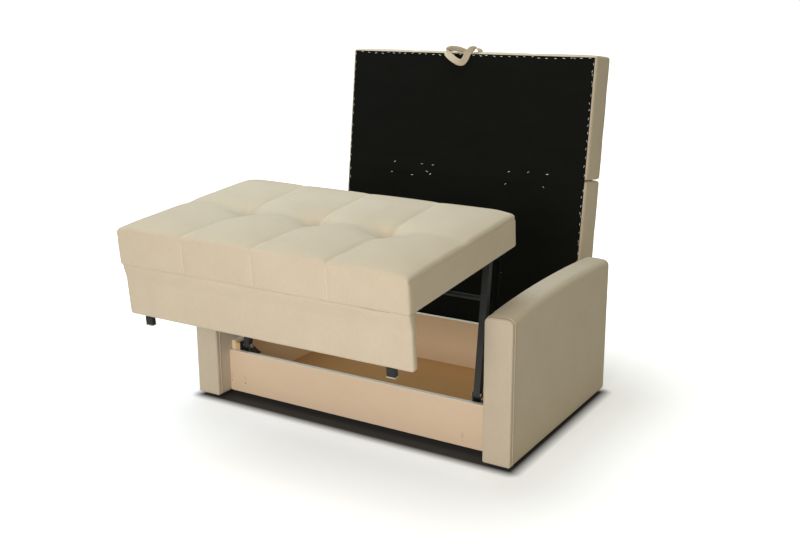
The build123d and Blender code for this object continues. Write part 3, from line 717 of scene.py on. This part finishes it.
def arm(side, sign):
    middle = sign * (half_inner + arm_thickness / 2)
    front_y = arm_front_y - arm_proud
    cover_length = arm_depth - panel_depth + 0.018
    height = 0.535
    place = Matrix.Translation((middle, front_y + panel_depth + cover_length / 2, arm_foot_z))
    size = (arm_thickness, cover_length, height)
    points, quads = rounded_box(size, (18, 84, 52), 0.006, 0.004, 0.004)
    x, y, z = points.T.copy()
    x *= 1 - shoulder(z, height) / (arm_thickness / 2)
    share = (y + cover_length / 2) / cover_length
    z += (0.0005 + 0.0125 * share) * z / height
    z += 0.017 * np.sin(pi * share**0.85) ** 0.75 * rise(z, height * 0.75, height)
    z += 0.004 * np.sin(pi * share) * rise(z, height * 0.8, height) * (1 - (2 * x / arm_thickness) ** 2)
    outer = rise(x * sign, 0, arm_thickness / 2)
    z -= 0.003 * outer * rise(z, height * 0.85, height)
    cover = piece_from(f"{side}_arm_padded_cover", np.stack((x, y, z), 1), quads, cover_cloth, place)
    finer(cover)
    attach(cover, "base")
    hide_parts(f"{side}_arm_cover")

    panel_height = 0.534
    place = Matrix.Translation((middle, front_y + 0.0105, arm_foot_z))
    size = (arm_thickness, 0.021, panel_height)
    points, quads = rounded_box(size, (18, 4, 76), 0.0045, 0.0045, 0.0045)
    x, y, z = points.T.copy()
    x *= 1 - shoulder(z, panel_height) / (arm_thickness / 2)
    front = rise(-y, 0, 0.0105)
    fullness = (1 - (2 * x / arm_thickness) ** 2) * np.sin(pi * np.clip(z / panel_height, 0, 1)) ** 0.3
    y -= 0.0025 * front * fullness
    panel = piece_from(f"{side}_arm_front_pad", np.stack((x, y, z), 1), quads, cover_cloth, place)
    finer(panel)
    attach(panel, "base")
    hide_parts(f"{side}_arm_front_panel")

    half, top = arm_thickness / 2 - 0.0004, arm_foot_z + panel_height - 0.0004
    route = [(-half, 0.022), (-half, top - arm_corner)]
    for step in range(1, 8):
        turn = pi / 2 * step / 8
        route.append((-half + arm_corner * (1 - cos(turn)), top - arm_corner * (1 - sin(turn))))
    route.append((-half + arm_corner, top))
    route += [(-across, up) for across, up in route[::-1]]
    line = bpy.data.curves.new(f"{side}_arm_piping", "CURVE")
    line.dimensions = "3D"
    line.bevel_depth = 0.0025
    line.bevel_resolution = 2
    run = line.splines.new("POLY")
    run.points.add(len(route) - 1)
    for point, (across, up) in zip(run.points, route):
        point.co = (middle + across, front_y + 0.0205, up, 1)
    line.materials.append(cover_cloth)
    piping = bpy.data.objects.new(line.name, line)
    scene.collection.objects.link(piping)
    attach(piping, "base")


arm("left", -1)
arm("right", 1)


# Apron under the front of the seat
def apron():
    height = 0.1925
    place = seat_base @ Matrix.Translation((0, -0.6503 + 0.012 + 0.015, -0.189))
    points, quads = rounded_box((1.188, 0.030, height), (130, 5, 24), 0.010, 0.001, 0.006)
    x, y, z = points.T.copy()
    ripple = np.array([noise.noise(Vector((a * 9, b * 4, c * 14))) for a, b, c in points])
    y -= 0.0012 * ripple * rise(-y, 0, 0.012)
    y -= 0.008 * rise(z, height - 0.06, height - 0.006) * rise(-y, -0.015, 0.015)
    piece = piece_from("apron_padded_cover", np.stack((x, y, z), 1), quads, cover_cloth, place)
    finer(piece)
    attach(piece, "seat")
    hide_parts("apron_cover")


apron()


# Black cloth on the undersides, with its staples
cloth_pitch = 0.012
pucker_pitch = 0.034
wire_half = 0.0008
wire_thickness = 0.0005


def under_sheet(name, base, width, start, end, body, node):
    """Cloth drawn over an underside, dimpled between its staples."""
    columns, rows = round(width / cloth_pitch), round((end - start) / cloth_pitch)
    points, quads = [], []
    for j in range(rows + 1):
        for i in range(columns + 1):
            x = (i / columns - 0.5) * width
            y = start + (end - start) * j / rows
            edge = min(width / 2 - abs(x), y - start, end - y)
            puckers = 0.0006 * sin(2 * pi * (x + y) / pucker_pitch) * exp(-edge / 0.02)
            sag = 0.0009 * noise.noise(Vector((x * 6, y * 3, 2)))
            points.append((x, y, -0.0006 + min(0.0004, puckers + sag)))
    for j in range(rows):
        for i in range(columns):
            a = j * (columns + 1) + i
            quads.append((a, a + columns + 1, a + columns + 2, a + 1))
    piece = piece_from(name, points, quads, black_cloth, base)
    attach(piece, body)
    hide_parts(node)


under_sheet(
    "seat_black_cloth", seat_base, 1.181, -0.6448, 0.0722, "seat", "seat_under_cloth",
)
under_sheet(
    "lower_black_cloth", back_base, 1.142, -0.0185, 0.6415,
    "lower_back", "lower_back_under_cloth",
)
under_sheet(
    "upper_black_cloth", back_base, 1.142, 0.6585, 1.1405,
    "upper_back", "upper_back_under_cloth",
)


def staples(name, base, places, body):
    """Flat wire staples; each place is x, y and the angle that its crown lies at."""
    points, faces = [], []
    for x, y, angle in places:
        along = Vector((cos(angle), sin(angle), 0))
        aside = Vector((-sin(angle), cos(angle), 0))
        half = rng.uniform(0.0042, 0.0060)
        first = len(points)
        for u, height in ((-half, 0.0), (-half * 0.9, 0.0008), (half * 0.9, 0.0008), (half, 0.0)):
            for v, drop in (
                (-wire_half, 0), (wire_half, 0),
                (wire_half, wire_thickness), (-wire_half, wire_thickness),
            ):
                points.append(Vector((x, y, -0.0012 - height + drop)) + along * u + aside * v)
        for k in range(3):
            a = first + 4 * k
            for j in range(4):
                n = (j + 1) % 4
                faces.append((a + j, a + n, a + 4 + n, a + 4 + j))
        faces.append((first + 3, first + 2, first + 1, first))
        faces.append((first + 12, first + 13, first + 14, first + 15))
    piece = piece_from(name, points, faces, staple_wire, base)
    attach(piece, body)


rng = np.random.default_rng(7)


def edge_row(x_side, start, end, pitch):
    """Staples down one side, now and then two close together and set at odd angles."""
    row, y = [], start
    while y < end:
        row.append((x_side + rng.uniform(-0.003, 0.003), y, pi / 2 + rng.uniform(-0.45, 0.45)))
        y += pitch * (0.45 if rng.random() < 0.12 else rng.uniform(0.85, 1.35))
    return row


def end_row(y, low, high, pitch):
    """Staples along one end."""
    return [(v, u, a - pi / 2) for u, v, a in edge_row(y, low, high, pitch)]


sides = (-0.5675, 0.5675)
lower_staples = [s for x in sides for s in edge_row(x, 0.0, 0.63, 0.029)]
lower_staples += end_row(-0.012, -0.55, 0.55, 0.034)
upper_staples = [s for x in sides for s in edge_row(x, 0.672, 1.13, 0.029)]
upper_staples += end_row(1.134, -0.55, 0.55, 0.030)
webbing_rows = (0.330, 0.225, 0.190, 0.134, -0.233, -0.321, -0.407)
lower_staples += [
    (x + 0.012, 0.614 + 0.01 * rng.uniform(-1, 1), rng.uniform(-0.9, 0.9))
    for x in webbing_rows if x not in (0.190, -0.321)
]
lower_staples += [(0.162, 0.628, 0.3), (-0.229, 0.2315, 0.2)]
upper_staples += [
    (x, 0.662 + 0.004 * rng.uniform(-1, 1), rng.uniform(-0.9, 0.9))
    for x in webbing_rows if x != 0.225
]
on_cloth = back_base @ Matrix.Translation((0, 0, -0.0014))
staples("lower_staples", on_cloth, lower_staples, "lower_back")
staples("upper_staples", on_cloth, upper_staples, "upper_back")


# Fold cloth across the joint of the two back sections
def fold_cloth():
    width, low, high = 1.142, 0.618, 0.682
    columns, rows = 60, 16
    points = [
        ((i / columns - 0.5) * width, low + (high - low) * j / rows, -0.0016)
        for j in range(rows + 1)
        for i in range(columns + 1)
    ]
    quads = [
        (a, a + columns + 1, a + columns + 2, a + 1)
        for a in (j * (columns + 1) + i for j in range(rows) for i in range(columns))
    ]
    piece = piece_from("fold_black_cloth", points, quads, black_cloth, back_base)
    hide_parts("lower_fold_straps", "upper_fold_straps")
    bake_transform(piece)


fold_cloth()


# Pull strap: a ribbon of the cover cloth, both ends sewn to the top edge
strap_half = 0.0138
strap_crown = 0.0012
strap_thickness = 0.0022


def pull_strap():
    route = [
        ((0.006, 1.144, 0.026), (0.1, -0.5, 0.85)),
        ((0.020, 1.153, 0.014), (0.1, -0.6, 0.80)),
        ((0.044, 1.160, 0.000), (0.1, -0.65, 0.75)),
        ((0.072, 1.160, -0.014), (0.2, -0.75, 0.60)),
        ((0.090, 1.148, -0.026), (0.45, -0.85, 0.20)),
        ((0.076, 1.133, -0.034), (0.55, -0.83, -0.1)),
        ((0.050, 1.116, -0.038), (0.50, -0.86, -0.1)),
        ((0.024, 1.103, -0.036), (0.25, -0.95, 0.1)),
        ((0.007, 1.103, -0.030), (-0.45, -0.75, 0.5)),
        ((-0.004, 1.119, -0.026), (-0.80, -0.2, 0.6)),
        ((-0.010, 1.140, -0.020), (-0.75, -0.1, 0.65)),
        ((-0.020, 1.157, -0.010), (-0.65, 0.1, 0.75)),
        ((-0.034, 1.163, 0.002), (-0.5, -0.2, 0.85)),
        ((-0.047, 1.156, 0.014), (-0.4, -0.2, 0.9)),
        ((-0.052, 1.143, 0.024), (-0.2, 0.0, 1.0)),
    ]
    spots = [np.array(p) for p, _ in route]
    sides = [np.array(s, float) for _, s in route]
    for k in range(1, len(sides)):
        if np.dot(sides[k], sides[k - 1]) < 0:
            sides[k] = -sides[k]

    def curve_at(values, t):
        k = min(int(t), len(values) - 2)
        f = t - k
        a, b = values[max(k - 1, 0)], values[k]
        c, d = values[k + 1], values[min(k + 2, len(values) - 1)]
        bend = (2 * a - 5 * b + 4 * c - d) * f * f + (3 * b - a - 3 * c + d) * f**3
        return 0.5 * (2 * b + (c - a) * f + bend)

    steps, columns = 150, 6
    points, quads = [], []
    for k in range(steps + 1):
        t = (len(spots) - 1) * k / steps
        centre, side = curve_at(spots, t), curve_at(sides, t)
        ahead = curve_at(spots, min(t + 0.05, len(spots) - 1)) - curve_at(spots, max(t - 0.05, 0))
        ahead /= np.linalg.norm(ahead)
        side = side - ahead * np.dot(side, ahead)
        side /= np.linalg.norm(side)
        out = np.cross(ahead, side)
        for j in range(columns + 1):
            s = 2 * j / columns - 1
            points.append(centre + side * strap_half * s + out * strap_crown * (1 - s * s))
    for k in range(steps):
        for j in range(columns):
            a = k * (columns + 1) + j
            quads.append((a, a + columns + 1, a + columns + 2, a + 1))
    piece = piece_from("pull_strap_ribbon", points, quads, cover_cloth, back_base)
    thickness = piece.modifiers.new("Thickness", "SOLIDIFY")
    thickness.thickness = strap_thickness
    thickness.offset = 0
    keep(piece, thickness)
    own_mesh(piece)
    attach(piece, "upper_back")
    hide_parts("pull_strap")


pull_strap()


# Floor with a painted shadow under the sofa, backdrop and light
def studio():
    bpy.ops.mesh.primitive_circle_add(vertices=96, radius=30, fill_type="NGON")
    floor = bpy.context.object
    floor.name = "studio_floor"
    paper = Finish("studio_floor_look", Roughness=0.9, Specular_IOR_Level=0.1, Emission_Strength=1.0)
    x, y = axes(paper)[:2]
    seen = paper.node("LightPath")
    past_side = (x.math("ABSOLUTE") - 0.70).math("MAXIMUM", 0)
    past_end = ((y - 0.12).math("ABSOLUTE") - 0.43).math("MAXIMUM", 0)
    past = (past_side**2 + past_end**2) ** 0.5
    # Painted shadow: within the sofa's footprint and a 5 cm margin the floor is painted near black and
    # does not glow; further out it glows for camera rays, more with distance, so the floor reads white
    near = 1 - past.between(0.0, 0.05)
    glow = 0.42 + 0.58 * past.between(0.15, 1.2)
    paper.give(
        Base_Color=paper.blend(near, (0.76, 0.79, 0.84), (0.065, 0.065, 0.067)),
        Emission_Color=paper.blend(seen * glow * (1 - near), (0, 0, 0), (1, 1, 1)),
    )
    floor.data.materials.append(paper.material)
    world = bpy.data.worlds.new("studio_air")
    world.use_nodes = True
    scene.world = world
    tree = world.node_tree
    tree.nodes.clear()
    out = tree.nodes.new("ShaderNodeOutputWorld")
    light = tree.nodes.new("ShaderNodeBackground")
    shown = tree.nodes.new("ShaderNodeBackground")
    mix = tree.nodes.new("ShaderNodeMixShader")
    path = tree.nodes.new("ShaderNodeLightPath")
    either = tree.nodes.new("ShaderNodeMath")
    either.operation = "MAXIMUM"
    light.inputs[0].default_value = (1.0, 0.90, 0.60, 1)
    light.inputs[1].default_value = 0.36
    shown.inputs[0].default_value = (1, 1, 1, 1)
    tree.links.new(path.outputs["Is Camera Ray"], either.inputs[0])
    tree.links.new(path.outputs["Is Glossy Ray"], either.inputs[1])
    tree.links.new(either.outputs[0], mix.inputs[0])
    tree.links.new(light.outputs[0], mix.inputs[1])
    tree.links.new(shown.outputs[0], mix.inputs[2])
    tree.links.new(mix.outputs[0], out.inputs[0])

    def lamp(name, spot, target, size, power, tint):
        data = bpy.data.lights.new(name, "AREA")
        data.shape = "RECTANGLE"
        data.size, data.size_y = size
        data.energy = power
        data.color = tint
        placed = bpy.data.objects.new(name, data)
        placed.location = spot
        placed.rotation_euler = (Vector(target) - Vector(spot)).to_track_quat("-Z", "Y").to_euler()
        scene.collection.objects.link(placed)

    lamp("overhead", (-0.9, 0.4, 3.3), (-0.1, 0, 0.5), (2.6, 2.6), 66, (0.75, 0.91, 1.0))
    lamp("front", (0.9, -4.7, 1.7), (0, 0, 0.5), (2.0, 1.8), 112, (1.0, 0.96, 0.94))


studio()
